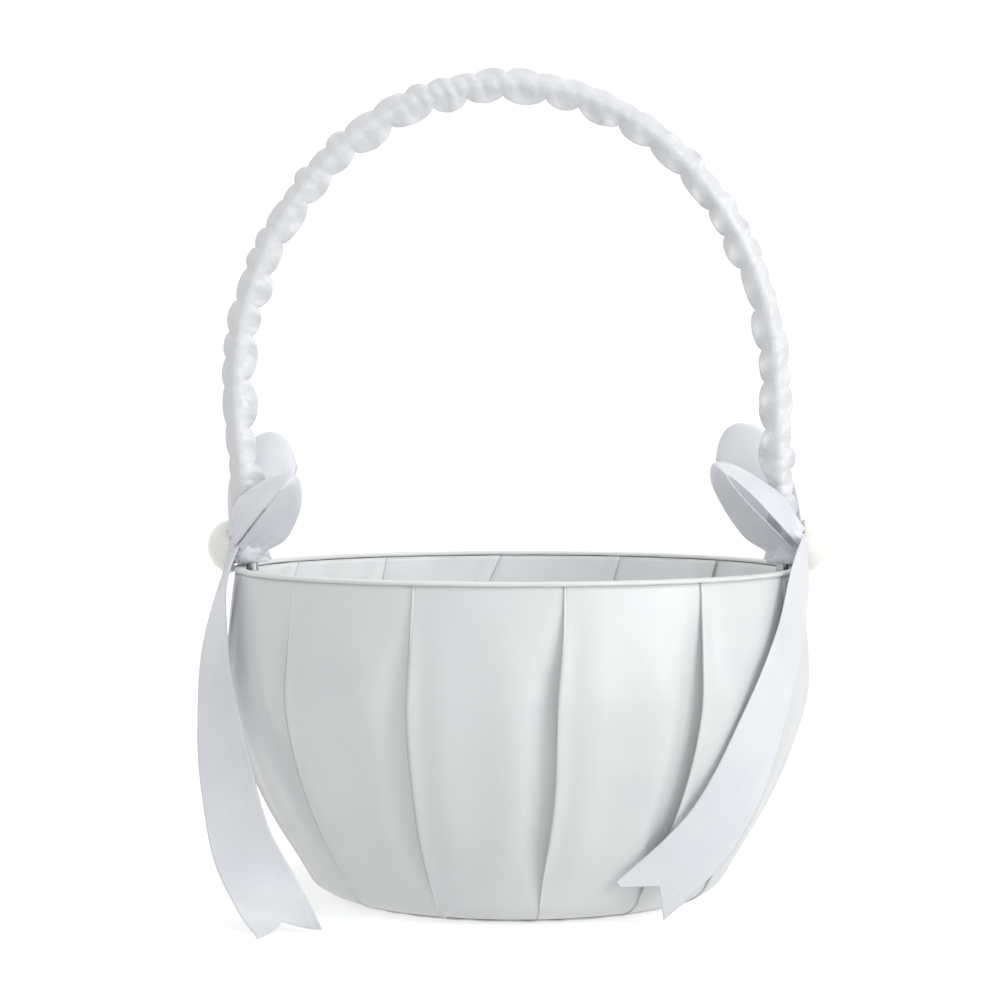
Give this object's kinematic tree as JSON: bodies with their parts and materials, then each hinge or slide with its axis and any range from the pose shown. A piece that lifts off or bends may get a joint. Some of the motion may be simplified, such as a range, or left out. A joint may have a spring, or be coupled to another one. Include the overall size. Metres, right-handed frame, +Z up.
{
  "type": "flower girl basket",
  "caption": "Round satin-covered basket with a pleated body, a ruched wire arch handle, and at each end of the handle a ribbon bow with tails and a flat-backed pearl.",
  "frame": {"origin": "centre of the foot, on the surface that the basket stands on", "axes": "+Z up, the handle spans X, and the front of the basket faces -Y"},
  "size_m": [0.1618, 0.1516, 0.214],
  "materials": {
    "cover_satin": "white satin, soft sheen",
    "lining_satin": "white satin, soft sheen",
    "binding_satin": "white satin, rolled edge",
    "sleeve_satin": "white satin, gathered",
    "ribbon_satin": "white satin ribbon, woven edges",
    "base_cloth": "white satin on card",
    "tape": "plain cotton tape",
    "padding": "soft polyester wadding",
    "bowl_plastic": "moulded, matt",
    "pearl": "ivory pearl lacquer",
    "steel": "plain wire"
  },
  "bodies": {
    "basket": {"bowl_core": "bowl_plastic", "wall_padding": "padding", "outer_cover": "cover_satin", "base_cover": "base_cloth", "inner_lining": "lining_satin", "floor_foam": "padding", "floor_cover": "lining_satin", "rim_binding": "binding_satin", "handle_wire": "steel", "handle_sleeve": "sleeve_satin", "left_leg_strap": "tape", "right_leg_strap": "tape", "leg_staples": "steel", "left_bow_front_loop": "ribbon_satin", "left_bow_rear_loop": "ribbon_satin", "left_bow_knot": "ribbon_satin", "left_pearl": "pearl", "right_bow_front_loop": "ribbon_satin", "right_bow_rear_loop": "ribbon_satin", "right_bow_knot": "ribbon_satin", "right_pearl": "pearl"},
    "tail_left_front": {"left_front_tail": "ribbon_satin"},
    "tail_left_rear": {"left_rear_tail": "ribbon_satin"},
    "tail_right_front": {"right_front_tail": "ribbon_satin"},
    "tail_right_rear": {"right_rear_tail": "ribbon_satin"}
  },
  "joints": [
    {"name": "left_front_tail_lift", "type": "hinge", "parent": "basket", "child": "tail_left_front", "pos_m": [-0.0734, -0.0093, 0.0892], "axis": [-0.8624, 0.3212, -0.3912], "range_deg": [0, 60]},
    {"name": "left_rear_tail_lift", "type": "hinge", "parent": "basket", "child": "tail_left_rear", "pos_m": [-0.074, 0.0093, 0.0892], "axis": [0.7771, 0.289, 0.5591], "range_deg": [0, 60]},
    {"name": "right_front_tail_lift", "type": "hinge", "parent": "basket", "child": "tail_right_front", "pos_m": [0.074, -0.0093, 0.0892], "axis": [-0.7771, -0.289, 0.5591], "range_deg": [0, 60]},
    {"name": "right_rear_tail_lift", "type": "hinge", "parent": "basket", "child": "tail_right_rear", "pos_m": [0.074, 0.0093, 0.0892], "axis": [0.7771, -0.289, -0.5591], "range_deg": [0, 60]}
  ]
}
